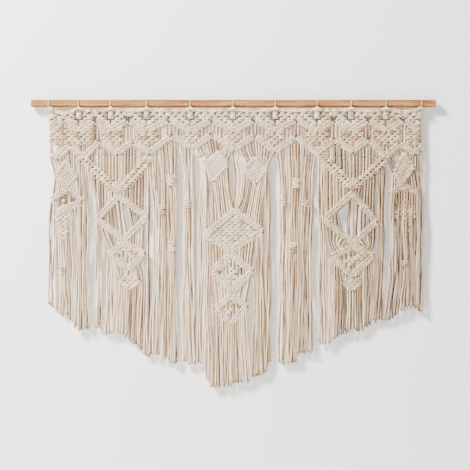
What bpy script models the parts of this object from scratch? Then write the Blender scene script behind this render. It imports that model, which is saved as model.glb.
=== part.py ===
"""A knotted cotton wall hanging on a round wooden dowel, in metres, +Z up.

The origin is on the dowel's axis, halfway along it. The dowel lies along X and the wall is behind, at +Y.
Below the dowel hangs a knotted header, and from the header's straight lower edge hang seven panels side by
side. Heights are given as depths below the dowel's axis. Every knotted field is a plate whose outline runs
along lines that it shares with its neighbours, and each plate is pulled in by half a seam.
"""

from math import asin, cos, pi, radians, sin

import bmesh
import bpy
from mathutils import Matrix, Vector

# The dowel.
ROD_LENGTH = 1.114
ROD_DIAMETER = 0.020
ROD_END_ROUNDING = 0.003

# The header cord under the dowel, and the ties that hold it.
HEADER_CORD_DIAMETER = 0.005
HEADER_CORD_TAIL = 0.010
HEADER_CENTRE = 0.0045
TIE_DIAMETER = 0.0024
TIE_CLEARANCE = 0.0005
TIE_KNOT_DIAMETER = 0.0050
TIE_KNOT_LENGTH = 0.0090

# The row of lark's head loops round the header cord.
LOOP_THICKNESS = 0.0030
LOOP_CLEARANCE = 0.0003
LOOP_TO_ROD = 0.0007

# Distances from each tie to the next, left to right. Each is one zone of the header.
ZONE_WIDTHS = (0.082, 0.088, 0.099, 0.120, 0.117, 0.116, 0.115, 0.093, 0.096, 0.097)

# Each panel: the zones that it hangs under, and how deep its fringe reaches at its two sides.
PANELS = {
    "left_edge": ((0, 1), (0.545, 0.612)),
    "left_motif": ((1, 3), (0.612, 0.684)),
    "left_loose": ((3, 4), (0.684, 0.708)),
    "centre": ((4, 6), (0.772, 0.736)),
    "right_loose": ((6, 7), (0.706, 0.668)),
    "right_motif": ((7, 9), (0.656, 0.590)),
    "right_edge": ((9, 10), (0.584, 0.560)),
}

# Thickness of the knotted fields and of the loose strands, and the seam between fields.
KNOTTED_THICKNESS = 0.0090
STRAND_THICKNESS = 0.0050
SEAM = 0.0006
EDGE_ROUNDING = 0.0010

# The two zigzag double rows of half hitches in the header. Depths are to the middle of a row.
UPPER_ROW_PEAK = 0.047
UPPER_ROW_VALLEY = 0.075
LOWER_ROW_PEAK = 0.098
LOWER_ROW_VALLEY = 0.133
ROW_HEIGHT = 0.019

# The straight line that the panels swing about, and the clearance on each side of it.
SWING_DEPTH = 0.157
SWING_CLEARANCE = 0.0020

# The motif panels: the V of knotted bands, and the (width, height) of each diamond and of the knotted tip.
V_DEPTH = 0.085
V_BAND_HEIGHT = 0.026
MOTIF_DIAMONDS = ((0.142, 0.134), (0.108, 0.086))
MOTIF_TIP = (0.058, 0.045)

# The centre panel: two woven diamonds at its top, then three knotted ones.
WOVEN_WIDTH = 0.060
WOVEN_TOP_WIDTH = 0.040
WOVEN_SHOULDER = 0.015
WOVEN_HEIGHT = 0.062
WOVEN_OFFSET = 0.053
STRANDS_TO_DIAMOND = 0.138
CENTRE_DIAMONDS = ((0.157, 0.110), (0.111, 0.110), (0.085, 0.091))

# The edge panels: one woven diamond and a column of square knots.
EDGE_DIAMOND_WIDTH = 0.052
EDGE_DIAMOND_TOP_WIDTH = 0.026
EDGE_DIAMOND_SHOULDER = 0.036
EDGE_DIAMOND_HEIGHT = 0.072
EDGE_COLUMN_WIDTH = 0.040
EDGE_COLUMN_HEIGHT = 0.144
EDGE_COLUMN_POINT = 0.027

# The loose panels: two bundles of strands that part below the split.
BUNDLE_SHARE = 0.62
BUNDLE_SPLIT_DEPTH = 0.250
BUNDLE_GAP = 0.012

# Recess of the slack strands inside a knotted diamond, behind its border of half hitches.
DIAMOND_BORDER = 0.012
DIAMOND_RECESS = 0.0020

# The cut ends of the fringe.
FRINGE_TOOTH_WIDTH = 0.016
FRINGE_TOOTH = 0.005

ROD_RADIUS = ROD_DIAMETER / 2
HEADER_CORD_RADIUS = HEADER_CORD_DIAMETER / 2
TIE_RADIUS = TIE_DIAMETER / 2
LOOP_BORE_RADIUS = HEADER_CORD_RADIUS + LOOP_CLEARANCE
LOOP_RADIUS = LOOP_BORE_RADIUS + LOOP_THICKNESS
HEADER_CORD_DEPTH = ROD_RADIUS + LOOP_TO_ROD + LOOP_RADIUS
PANEL_TOP = SWING_DEPTH + SWING_CLEARANCE


def clear_scene():
    for obj in list(bpy.data.objects):
        bpy.data.objects.remove(obj)


def finish(name, colour, roughness):
    """A material with one colour, for a natural surface with no metal in it."""
    material = bpy.data.materials.new(name)
    material.use_nodes = True
    shader = material.node_tree.nodes["Principled BSDF"]
    shader.inputs["Base Color"].default_value = (*colour, 1.0)
    shader.inputs["Roughness"].default_value = roughness
    shader.inputs["Metallic"].default_value = 0.0
    return material


def object_from(name, shape, material, parent=None):
    """A mesh object made from a bmesh, whose faces are turned to point outwards."""
    bmesh.ops.recalc_face_normals(shape, faces=shape.faces)
    mesh = bpy.data.meshes.new(name)
    shape.to_mesh(mesh)
    shape.free()
    mesh.materials.append(material)
    obj = bpy.data.objects.new(name, mesh)
    bpy.context.scene.collection.objects.link(obj)
    obj.parent = parent
    return obj


def swing_point(name, depth, parent=None):
    """An empty on a swing axis. What swings there is parented to it."""
    empty = bpy.data.objects.new(name, None)
    bpy.context.scene.collection.objects.link(empty)
    empty.parent = parent
    empty.location = (0, 0, -depth)
    return empty


def tie_places():
    """The X of every tie. Zone i lies between ties i and i + 1."""
    places = [HEADER_CENTRE - sum(ZONE_WIDTHS) / 2]
    for width in ZONE_WIDTHS:
        places.append(places[-1] + width)
    return places


def pulled_in(outline, gap):
    """The outline, anticlockwise, with every side moved inwards by gap."""
    points = [Vector(point) for point in outline]
    area = sum(a.x * b.y - b.x * a.y for a, b in zip(points, points[1:] + points[:1]))
    if area < 0:
        points.reverse()
    moved = []
    for before, here, after in zip(points[-1:] + points[:-1], points, points[1:] + points[:1]):
        inwards = [Vector((start.y - end.y, end.x - start.x)).normalized()
                   for start, end in ((before, here), (here, after))]
        moved.append(here + gap * (inwards[0] + inwards[1]) / (1 + inwards[0].dot(inwards[1])))
    return moved


def round_edges(obj):
    bevel = obj.modifiers.new("Rounded edges", "BEVEL")
    bevel.width = EDGE_ROUNDING
    bevel.segments = 1
    bevel.limit_method = "ANGLE"
    bevel.angle_limit = radians(50)
    return obj


def plate_shape(outline, thickness):
    """A flat plate in the XZ plane, centred on the wall side to side axis. The outline is in (x, depth)."""
    upright = pulled_in([(x, -depth) for x, depth in outline], SEAM / 2)
    shape = bmesh.new()
    front = shape.faces.new([shape.verts.new((x, -thickness / 2, z)) for x, z in upright])
    extruded = bmesh.ops.extrude_face_region(shape, geom=[front], use_keep_orig=True)
    back = [part for part in extruded["geom"] if isinstance(part, bmesh.types.BMVert)]
    bmesh.ops.translate(shape, verts=back, vec=(0, thickness, 0))
    return shape


def plate(name, outline, thickness, material, swing):
    """A plate that swings with the given empty, with its origin on the swing axis."""
    shape = plate_shape(outline, thickness)
    bmesh.ops.translate(shape, verts=shape.verts, vec=-swing_place(swing))
    return round_edges(object_from(name, shape, material, swing))


def swing_place(swing):
    """Where an empty stands in the world. Empties here are only moved, never turned."""
    place = Vector()
    while swing:
        place += swing.location
        swing = swing.parent
    return place


def diamond(name, middle, top, size, material, swing):
    """A knotted diamond: a thick border of half hitches round a thinner field of slack strands."""
    shape = plate_shape(kite(middle, top, *size), KNOTTED_THICKNESS)
    bmesh.ops.translate(shape, verts=shape.verts, vec=-swing_place(swing))
    bmesh.ops.recalc_face_normals(shape, faces=shape.faces)
    for side in (-1, 1):
        face = max(shape.faces, key=lambda candidate: side * candidate.normal.y * candidate.calc_area())
        bmesh.ops.inset_region(shape, faces=[face], thickness=DIAMOND_BORDER, depth=-DIAMOND_RECESS)
    return object_from(name, shape, material, swing)


def kite(middle, top, width, height):
    """The outline of a diamond that starts at its top point."""
    return [
        (middle, top),
        (middle + width / 2, top + height / 2),
        (middle, top + height),
        (middle - width / 2, top + height / 2),
    ]


def tube(name, path, radii, sides, material, closed=False, swing=None):
    """A round tube along a path of points, with one radius for each point, and flat caps unless it is closed."""
    shape = bmesh.new()
    count = len(path)
    rings = []
    for i, point in enumerate(path):
        before = path[i - 1] if closed or i else point
        after = path[(i + 1) % count] if closed or i < count - 1 else point
        turn = (after - before).to_track_quat("Z", "X")
        ring = [Vector((cos(2 * pi * k / sides), sin(2 * pi * k / sides), 0)) * radii[i] for k in range(sides)]
        rings.append([shape.verts.new(point + turn @ spoke) for spoke in ring])
    for i in range(count if closed else count - 1):
        ring, following = rings[i], rings[(i + 1) % count]
        shift = nearest_shift(ring[0], following)
        for k in range(sides):
            corners = (ring[k], ring[(k + 1) % sides])
            others = (following[(k + 1 + shift) % sides], following[(k + shift) % sides])
            shape.faces.new((*corners, *others))
    if not closed:
        shape.faces.new(rings[0])
        shape.faces.new(rings[-1])
    if swing:
        bmesh.ops.translate(shape, verts=shape.verts, vec=-swing_place(swing))
    obj = object_from(name, shape, material, swing)
    obj.data.shade_smooth()
    obj.data.set_sharp_from_angle(angle=radians(40))
    return obj


def nearest_shift(vertex, ring):
    """How far a ring's numbering is turned from the ring before it."""
    return min(range(len(ring)), key=lambda k: (ring[k].co - vertex.co).length)


def add_rod(wood):
    """The dowel: a plain round rod with softly rounded ends, each with a flat face in the middle."""
    shape = bmesh.new()
    bmesh.ops.create_cone(
        shape, cap_ends=True, segments=32, radius1=ROD_RADIUS, radius2=ROD_RADIUS, depth=ROD_LENGTH,
        matrix=Matrix.Rotation(pi / 2, 4, "Y"),
    )
    rod = object_from("dowel", shape, wood)
    rod.data.shade_smooth()
    bevel = rod.modifiers.new("Rounded ends", "BEVEL")
    bevel.width = ROD_END_ROUNDING
    bevel.segments = 3
    bevel.limit_method = "ANGLE"
    bevel.angle_limit = radians(60)


def add_header_cord(cotton, swing):
    places = tie_places()
    start, end = places[0] - HEADER_CORD_TAIL, places[-1] + HEADER_CORD_TAIL
    path = [Vector((start, 0, -HEADER_CORD_DEPTH)), Vector((end, 0, -HEADER_CORD_DEPTH))]
    tube("header_cord", path, [HEADER_CORD_RADIUS] * 2, 16, cotton, swing=swing)


def tie_path(x):
    """A loop round the dowel and the header cord, like a belt round two wheels, and the radius at each point."""
    over_rod = ROD_RADIUS + TIE_CLEARANCE + TIE_RADIUS
    under_cord = HEADER_CORD_RADIUS + TIE_CLEARANCE + TIE_RADIUS
    lean = asin((over_rod - under_cord) / HEADER_CORD_DEPTH)
    arc_steps, cord_steps, run_steps = 14, 6, 5
    sweep = pi + 2 * lean
    points = []
    for i in range(arc_steps + 1):
        angle = -lean + sweep * i / arc_steps
        points.append(Vector((x, over_rod * cos(angle), over_rod * sin(angle))))
    cord_middle = Vector((x, 0, -HEADER_CORD_DEPTH))
    lower = []
    for i in range(cord_steps + 1):
        angle = pi + lean + (pi - 2 * lean) * i / cord_steps
        lower.append(cord_middle + under_cord * Vector((0, cos(angle), sin(angle))))
    front = [points[-1].lerp(lower[0], i / run_steps) for i in range(1, run_steps)]
    radii = [TIE_RADIUS] * len(points)
    knot_at = points[-1].lerp(lower[0], 0.55)
    for point in front:
        share = min((point - knot_at).length / (TIE_KNOT_LENGTH / 2), 1)
        radii.append(TIE_RADIUS + (TIE_KNOT_DIAMETER / 2 - TIE_RADIUS) * (1 - share))
    return points + front + lower, radii + [TIE_RADIUS] * len(lower)


def add_ties(cotton, swing):
    for number, x in enumerate(tie_places(), 1):
        path, radii = tie_path(x)
        tube(f"tie_{number:02}", path, radii, 8, cotton, closed=True, swing=swing)


def zigzag(first, last, peak, valley):
    """Points along a zigzag from tie first to tie last: a valley under each tie and a peak between ties."""
    places = tie_places()
    points = [(places[first], valley)]
    for left, right in zip(places[first:last], places[first + 1 : last + 1]):
        points += [((left + right) / 2, peak), (right, valley)]
    return points


def add_knotted_band(panel, material, swing):
    """The top of the header over one panel: loops round the header cord, then square knots down to the zigzag."""
    (first, last), _ = PANELS[panel]
    places = tie_places()
    notch = TIE_RADIUS + TIE_CLEARANCE
    top = HEADER_CORD_DEPTH + (LOOP_BORE_RADIUS + LOOP_RADIUS) / 2
    notch_depth = HEADER_CORD_DEPTH + HEADER_CORD_RADIUS + 2 * TIE_CLEARANCE + TIE_DIAMETER
    outline = [(places[first], notch_depth)]
    for i in range(first, last):
        left, right = places[i] + notch, places[i + 1] - notch
        outline += [(left, notch_depth), (left, top), (right, top), (right, notch_depth)]
    outline.append((places[last], notch_depth))
    below = zigzag(first, last, UPPER_ROW_PEAK - ROW_HEIGHT / 2, UPPER_ROW_VALLEY - ROW_HEIGHT / 2)
    band = plate(f"{panel}_knotted_band", outline + below[::-1], KNOTTED_THICKNESS, material, swing)
    band.modifiers.clear()
    for i in range(first, last):
        left, right = places[i] + notch + SEAM, places[i + 1] - notch - SEAM
        join = band.modifiers.new(f"Loops {i + 1}", "BOOLEAN")
        join.operation = "UNION"
        join.solver = "EXACT"
        join.object = loop_sleeve(f"{panel}_loops_{i + 1}", left, right, material, swing)


def loop_sleeve(name, left, right, material, swing):
    """A guide: the row of lark's head loops of one zone, as an open sleeve round the header cord."""
    shape = bmesh.new()
    sides = 16
    rings = []
    for x, radius in ((left, LOOP_BORE_RADIUS), (left, LOOP_RADIUS), (right, LOOP_RADIUS), (right, LOOP_BORE_RADIUS)):
        rings.append([
            shape.verts.new((x, radius * cos(2 * pi * k / sides), radius * sin(2 * pi * k / sides) - HEADER_CORD_DEPTH))
            for k in range(sides)
        ])
    for ring, following in zip(rings, rings[1:] + rings[:1]):
        for k in range(sides):
            shape.faces.new((ring[k - 1], ring[k], following[k], following[k - 1]))
    bmesh.ops.translate(shape, verts=shape.verts, vec=-swing_place(swing))
    guide = object_from(name, shape, material, swing)
    guide.hide_render = True
    guide.display_type = "WIRE"
    return guide


def add_zigzag_rows(knotted, strands, swing):
    """The two zigzag rows over the whole width, the short strands between them and the strands below."""
    half = ROW_HEIGHT / 2
    last = len(ZONE_WIDTHS)
    upper_top = zigzag(0, last, UPPER_ROW_PEAK - half, UPPER_ROW_VALLEY - half)
    upper_bottom = zigzag(0, last, UPPER_ROW_PEAK + half, UPPER_ROW_VALLEY + half)
    lower_top = zigzag(0, last, LOWER_ROW_PEAK - half, LOWER_ROW_VALLEY - half)
    lower_bottom = zigzag(0, last, LOWER_ROW_PEAK + half, LOWER_ROW_VALLEY + half)
    swing_line = SWING_DEPTH - SWING_CLEARANCE
    straight = [(upper_top[0][0], swing_line), (upper_top[-1][0], swing_line)]
    plate("upper_zigzag_row", upper_top + upper_bottom[::-1], KNOTTED_THICKNESS, knotted, swing)
    plate("zigzag_strands", upper_bottom + lower_top[::-1], STRAND_THICKNESS, strands, swing)
    plate("lower_zigzag_row", lower_top + lower_bottom[::-1], KNOTTED_THICKNESS, knotted, swing)
    plate("header_strands", lower_bottom + straight[::-1], STRAND_THICKNESS, strands, swing)


def panel_sides(panel):
    (first, last), depths = PANELS[panel]
    places = tie_places()
    return places[first], places[last], depths


def fringe_ends(panel, start, end):
    """The cut ends of the strands from X start to X end: a sloping line with shallow teeth."""
    left, right, (left_depth, right_depth) = panel_sides(panel)
    teeth = max(1, round(abs(end - start) / FRINGE_TOOTH_WIDTH))
    points = []
    for i in range(2 * teeth + 1):
        x = start + (end - start) * i / (2 * teeth)
        depth = left_depth + (right_depth - left_depth) * (x - left) / (right - left)
        points.append((x, depth - FRINGE_TOOTH * (i % 2)))
    return points


def diamond_chain(middle, top, sizes):
    """Diamonds point to point: (top of each), and the outline down the chain's left side without its top."""
    tops, side = [], []
    for width, height in sizes:
        tops.append(top)
        side += [(middle - width / 2, top + height / 2), (middle, top + height)]
        top += height
    return tops, side


def mirrored(points, middle):
    return [(2 * middle - x, depth) for x, depth in points]


def add_motif_panel(panel, knotted, strands, swing):
    """A V of knotted bands with strands in it, two diamonds, a knotted tip, and fringe on both sides."""
    left, right, _ = panel_sides(panel)
    middle = (left + right) / 2
    half_width = (right - left) / 2
    apex = PANEL_TOP + V_DEPTH
    half_band = V_BAND_HEIGHT / 2
    inner_top = left + half_width * half_band / V_DEPTH
    band = [
        (left, PANEL_TOP), (inner_top, PANEL_TOP), (middle, apex - half_band),
        (middle, apex + half_band), (left, PANEL_TOP + half_band),
    ]
    in_v = [(inner_top, PANEL_TOP), (2 * middle - inner_top, PANEL_TOP), (middle, apex - half_band)]
    tops, chain = diamond_chain(middle, apex + half_band, MOTIF_DIAMONDS)
    tip_top = chain[-1][1]
    tip_width, tip_height = MOTIF_TIP
    tip_shoulder = (middle - tip_width / 2, tip_top + tip_height / 2)
    tip = [tip_shoulder, (middle, tip_top), *mirrored([tip_shoulder], middle), (middle, tip_top + tip_height)]
    side = [(left, PANEL_TOP + half_band), (middle, apex + half_band), *chain, tip_shoulder, tip[-1]]
    plate(f"{panel}_v_band_left", band, KNOTTED_THICKNESS, knotted, swing)
    plate(f"{panel}_v_band_right", mirrored(band, middle), KNOTTED_THICKNESS, knotted, swing)
    plate(f"{panel}_v_strands", in_v, STRAND_THICKNESS, strands, swing)
    for number, (top, size) in enumerate(zip(tops, MOTIF_DIAMONDS), 1):
        diamond(f"{panel}_diamond_{number}", middle, top, size, knotted, swing)
    plate(f"{panel}_knotted_tip", tip, KNOTTED_THICKNESS, knotted, swing)
    add_fringes(panel, side, middle, strands, swing)


def add_fringes(panel, side, middle, strands, swing):
    """The strands on both sides of a chain of diamonds. side is the chain's left side, from its top down."""
    left, right, _ = panel_sides(panel)
    left_side = side + fringe_ends(panel, middle, left)
    right_side = mirrored(side, middle) + fringe_ends(panel, middle, right)
    plate(f"{panel}_fringe_left", left_side, STRAND_THICKNESS, strands, swing)
    plate(f"{panel}_fringe_right", right_side, STRAND_THICKNESS, strands, swing)


def add_centre_panel(panel, knotted, strands, swing):
    """Two woven diamonds, strands between them, a chain of three knotted diamonds, and the longest fringe."""
    left, right, _ = panel_sides(panel)
    middle = (left + right) / 2
    woven_middle = middle - WOVEN_OFFSET
    outer = [
        (woven_middle - WOVEN_TOP_WIDTH / 2, PANEL_TOP),
        (woven_middle - WOVEN_WIDTH / 2, PANEL_TOP + WOVEN_SHOULDER),
        (woven_middle, PANEL_TOP + WOVEN_HEIGHT),
    ]
    inner = mirrored(outer[:2], woven_middle)
    woven = outer + inner[::-1]
    chain_top = PANEL_TOP + STRANDS_TO_DIAMOND
    between = [*inner, outer[-1], (middle, chain_top)]
    between += mirrored([outer[-1], *inner[::-1]], middle)
    tops, chain = diamond_chain(middle, chain_top, CENTRE_DIAMONDS)
    plate(f"{panel}_woven_diamond_left", woven, KNOTTED_THICKNESS, knotted, swing)
    plate(f"{panel}_woven_diamond_right", mirrored(woven, middle), KNOTTED_THICKNESS, knotted, swing)
    plate(f"{panel}_strands", between, STRAND_THICKNESS, strands, swing)
    for number, (top, size) in enumerate(zip(tops, CENTRE_DIAMONDS), 1):
        diamond(f"{panel}_diamond_{number}", middle, top, size, knotted, swing)
    side = [(left, PANEL_TOP), *outer, (middle, chain_top), *chain]
    add_fringes(panel, side, middle, strands, swing)


def add_edge_panel(panel, knotted, strands, swing):
    """A small woven diamond, a column of square knots under it, and one fringe round both."""
    left, right, _ = panel_sides(panel)
    middle = (left + right) / 2
    diamond_end = PANEL_TOP + EDGE_DIAMOND_HEIGHT
    column_end = diamond_end + EDGE_COLUMN_HEIGHT
    top_corner = (middle - EDGE_DIAMOND_TOP_WIDTH / 2, PANEL_TOP)
    shoulder = (middle - EDGE_DIAMOND_WIDTH / 2, PANEL_TOP + EDGE_DIAMOND_SHOULDER)
    column_side = [
        (middle - EDGE_COLUMN_WIDTH / 2, diamond_end + EDGE_COLUMN_POINT),
        (middle - EDGE_COLUMN_WIDTH / 2, column_end - EDGE_COLUMN_POINT),
    ]
    upper = [top_corner, shoulder, (middle, diamond_end), *mirrored([shoulder, top_corner], middle)]
    column = [(middle, diamond_end), *column_side, (middle, column_end)]
    column += mirrored(column_side[::-1], middle)
    side = [(left, PANEL_TOP), top_corner, shoulder, (middle, diamond_end), *column_side]
    around = [*side, (middle, column_end), *mirrored(side[::-1], middle)]
    plate(f"{panel}_woven_diamond", upper, KNOTTED_THICKNESS, knotted, swing)
    plate(f"{panel}_knot_column", column, KNOTTED_THICKNESS, knotted, swing)
    plate(f"{panel}_fringe", around + fringe_ends(panel, right, left), STRAND_THICKNESS, strands, swing)


def add_loose_panel(panel, strands, swing, outer_first):
    """Two bundles of strands. The wider one is on the side away from the hanging's middle."""
    left, right, _ = panel_sides(panel)
    share = BUNDLE_SHARE if outer_first else 1 - BUNDLE_SHARE
    split = left + (right - left) * share
    top, half_gap = PANEL_TOP, BUNDLE_GAP / 2
    for side, far, start in (("left", left, split - half_gap), ("right", right, split + half_gap)):
        outline = [(far, top), (split, top), (start, BUNDLE_SPLIT_DEPTH), *fringe_ends(panel, start, far)]
        plate(f"{panel}_bundle_{side}", outline, STRAND_THICKNESS, strands, swing)


def build():
    clear_scene()
    wood = finish("Oiled wood", (0.56, 0.34, 0.17), 0.55)
    tie_cotton = finish("Tie cord", (0.82, 0.78, 0.71), 0.9)
    header_cotton = finish("Header cord", (0.79, 0.74, 0.67), 0.9)
    knotted = finish("Knotted cotton", (0.76, 0.70, 0.62), 0.92)
    strands = finish("Cotton strands", (0.70, 0.64, 0.56), 0.92)
    add_rod(wood)
    header_swing = swing_point("header_swing", 0)
    add_ties(tie_cotton, header_swing)
    add_header_cord(header_cotton, header_swing)
    for panel in PANELS:
        add_knotted_band(panel, knotted, header_swing)
    add_zigzag_rows(knotted, strands, header_swing)
    swings = {panel: swing_point(f"{panel}_swing", SWING_DEPTH, header_swing) for panel in PANELS}
    for panel in ("left_edge", "right_edge"):
        add_edge_panel(panel, knotted, strands, swings[panel])
    for panel in ("left_motif", "right_motif"):
        add_motif_panel(panel, knotted, strands, swings[panel])
    add_loose_panel("left_loose", strands, swings["left_loose"], True)
    add_loose_panel("right_loose", strands, swings["right_loose"], False)
    add_centre_panel("centre", knotted, strands, swings["centre"])


build()
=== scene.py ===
"""The finished look of a knotted cotton wall hanging on a wooden dowel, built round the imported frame."""

import random
from math import asin, atan2, cos, dist, pi, radians, sin

import bpy
import numpy as np
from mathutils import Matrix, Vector


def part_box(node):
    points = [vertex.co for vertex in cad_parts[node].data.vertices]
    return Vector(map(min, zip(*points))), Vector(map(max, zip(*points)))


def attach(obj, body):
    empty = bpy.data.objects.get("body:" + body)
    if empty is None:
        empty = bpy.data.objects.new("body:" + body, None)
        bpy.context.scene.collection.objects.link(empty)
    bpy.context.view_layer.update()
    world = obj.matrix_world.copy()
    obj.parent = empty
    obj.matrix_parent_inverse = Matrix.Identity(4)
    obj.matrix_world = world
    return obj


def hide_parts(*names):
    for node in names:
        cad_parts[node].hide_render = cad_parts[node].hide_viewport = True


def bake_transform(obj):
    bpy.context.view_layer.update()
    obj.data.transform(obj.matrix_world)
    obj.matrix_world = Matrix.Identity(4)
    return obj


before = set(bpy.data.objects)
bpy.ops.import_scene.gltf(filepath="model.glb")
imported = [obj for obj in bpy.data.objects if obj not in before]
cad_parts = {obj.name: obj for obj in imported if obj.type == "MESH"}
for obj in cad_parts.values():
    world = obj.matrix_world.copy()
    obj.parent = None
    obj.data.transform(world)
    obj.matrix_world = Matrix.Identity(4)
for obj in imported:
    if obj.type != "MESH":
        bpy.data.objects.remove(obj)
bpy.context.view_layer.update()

# Camera.
# A long lens straight in front of the wall, level with the middle of the hanging, as a catalogue
# shot has it. The frame is 1.2925 m across at the dowel.
VIEW_DISTANCE = 3.0
VIEW_WIDTH = 1.2925
VIEW_X, VIEW_Z = 0.0041, -0.3616
SENSOR = 36.0
camera_data = bpy.data.cameras.new("Front camera")
camera_data.sensor_width = SENSOR
camera_data.lens = SENSOR * VIEW_DISTANCE / VIEW_WIDTH
camera = bpy.data.objects.new("Front camera", camera_data)
bpy.context.scene.collection.objects.link(camera)
camera.location = (VIEW_X, -VIEW_DISTANCE, VIEW_Z)
camera.rotation_euler = (pi / 2, 0, 0)
bpy.context.scene.camera = camera


# Dowel.
# A stock beech dowel, turned round and only oiled, with the saw-cut ends eased by hand. Real turned stock
# is never quite straight or quite round, so the surface wanders by a fifth of a millimetre.
def linear(code):
    """An sRGB hex colour as the linear colour that a shader takes."""
    channels = [int(code[i : i + 2], 16) / 255 for i in (1, 3, 5)]
    return (*[c / 12.92 if c <= 0.04045 else ((c + 0.055) / 1.055) ** 2.4 for c in channels], 1.0)


def feed(tree, made, sockets):
    """Gives a node's sockets their values or links. A socket goes by its name, or by _ and its place."""
    for name, value in sockets.items():
        socket = made.inputs[int(name[1:])] if name[0] == "_" else made.inputs[name.replace("_", " ")]
        if isinstance(value, bpy.types.NodeSocket):
            tree.links.new(value, socket)
        else:
            socket.default_value = value


def node(tree, kind, settings=None, **sockets):
    """Adds a shader node."""
    made = tree.nodes.new("ShaderNode" + kind)
    for name, value in (settings or {}).items():
        setattr(made, name, value)
    feed(tree, made, sockets)
    return made


def colour_ramp(tree, factor, stops):
    """A ramp through (position, hex colour) stops."""
    ramp = node(tree, "ValToRGB", _0=factor)
    while len(ramp.color_ramp.elements) < len(stops):
        ramp.color_ramp.elements.new(0.5)
    for element, (position, code) in zip(ramp.color_ramp.elements, stops):
        element.position = position
        element.color = linear(code)
    return ramp.outputs["Color"]


def multiplied(tree, factor, colour, by):
    """One colour multiplied by another, by a factor from none to full."""
    mixed = node(tree, "Mix", {"data_type": "RGBA", "blend_type": "MULTIPLY"},
                 Factor=factor, _6=colour, _7=by)
    return mixed.outputs[2]


def new_material(name):
    material = bpy.data.materials.new(name)
    material.use_nodes = True
    return material, material.node_tree, material.node_tree.nodes["Principled BSDF"]


def grain(tree, scale, **settings):
    """Noise in the wood. Growth runs along X, so the noise is drawn out along it."""
    place = node(tree, "TexCoord").outputs["Object"]
    drawn = node(tree, "Mapping", Vector=place, Scale=scale).outputs["Vector"]
    return node(tree, "TexNoise", Vector=drawn, Scale=1.0, **settings).outputs["Fac"]


def oiled_beech():
    """Turned beech with an oil finish: long pale and brown streaks down the grain, and short dark flecks."""
    material, tree, shader = new_material("Oiled beech dowel")
    # Growth streaks are about 3 mm across and 80 mm long. Broad patches, where the grain runs out to the
    # surface, change every 100 mm or so.
    streaks = grain(tree, (12, 330, 330), Detail=5.0, Roughness=0.6)
    flecks = grain(tree, (110, 1400, 1400), Detail=2.0)
    patches = grain(tree, (9, 30, 30), Detail=1.0)
    base = colour_ramp(tree, streaks, [
        (0.28, "#C07A3C"), (0.44, "#E6A562"), (0.56, "#F7C285"), (0.72, "#FDD8A4"),
    ])
    warm = multiplied(tree, 0.75, base, colour_ramp(tree, patches, [(0.35, "#EFC8A4"), (0.65, "#FFF8EA")]))
    dark = multiplied(tree, 0.5, warm, colour_ramp(tree, flecks, [(0.33, "#8A5C36"), (0.42, "#FFFFFF")]))
    rough = node(tree, "MapRange", Value=streaks, To_Min=0.62, To_Max=0.45).outputs["Result"]
    bump = node(tree, "Bump", Strength=0.35, Distance=0.0003, Height=flecks).outputs["Normal"]
    feed(tree, shader, {"Base Color": dark, "Roughness": rough, "Normal": bump})
    return material


def select_edges(obj, wanted):
    """Selects the edges that reach a wanted distance along X, in a mesh that is open for editing."""
    bpy.ops.mesh.select_all(action="DESELECT")
    bpy.ops.object.mode_set(mode="OBJECT")
    for edge in obj.data.edges:
        start, end = (obj.data.vertices[i].co.x for i in edge.vertices)
        edge.select = wanted(abs(start - end))
    bpy.ops.object.mode_set(mode="EDIT")


rod_low, rod_high = (Vector(corner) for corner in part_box("dowel"))
ROD_RADIUS = (rod_high.z - rod_low.z) / 2
ROD_LENGTH = rod_high.x - rod_low.x
END_ROUNDING = 0.0028
bpy.ops.object.select_all(action="DESELECT")
bpy.ops.mesh.primitive_cylinder_add(
    vertices=64, radius=ROD_RADIUS, depth=ROD_LENGTH, rotation=(0, pi / 2, 0),
    location=(rod_low + rod_high) / 2,
)
dowel = bpy.context.active_object
dowel.name = dowel.data.name = "turned_dowel"
bpy.ops.object.transform_apply(location=True, rotation=True, scale=True)
bpy.ops.object.mode_set(mode="EDIT")
# The end rings' vertices bring the long edges with them, so that the bevel cuts those too. Its strips
# overlap along the rod, which is a known fault, and the wood's colours were set with it.
select_edges(dowel, lambda along: along < 1e-5)
bpy.ops.mesh.select_mode(type="EDGE")
bpy.ops.mesh.bevel(offset=END_ROUNDING, segments=4, profile=0.55, affect="EDGES")
select_edges(dowel, lambda along: along > ROD_LENGTH / 2)
bpy.ops.mesh.subdivide(number_cuts=90)
bpy.ops.object.mode_set(mode="OBJECT")
for vertex in dowel.data.vertices:
    x, y, z = vertex.co
    around = atan2(z, y)
    swell = sin(x * 23) * sin(2 * around + x * 7) + 0.5 * sin(x * 71 + around)
    shrink = 1 - 0.008 * (0.75 - 0.5 * swell)
    vertex.co = (x, y * shrink, z * shrink)
dowel.data.shade_smooth()
dowel.data.materials.append(oiled_beech())
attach(dowel, "rod")
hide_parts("dowel")


# Ties.
# Eleven thin cotton cords, each carried once over the dowel and round the header cord and closed at the
# front with an overhand knot, with two short cut tails. They are what the whole hanging hangs from.
MM = 0.001
TIE_CORD = 1.1 * MM
LOOP_SLACK, CORD_SLACK = 0.5 * MM, 0.3 * MM
by_hand = random.Random(11)
vary = by_hand.uniform


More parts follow.
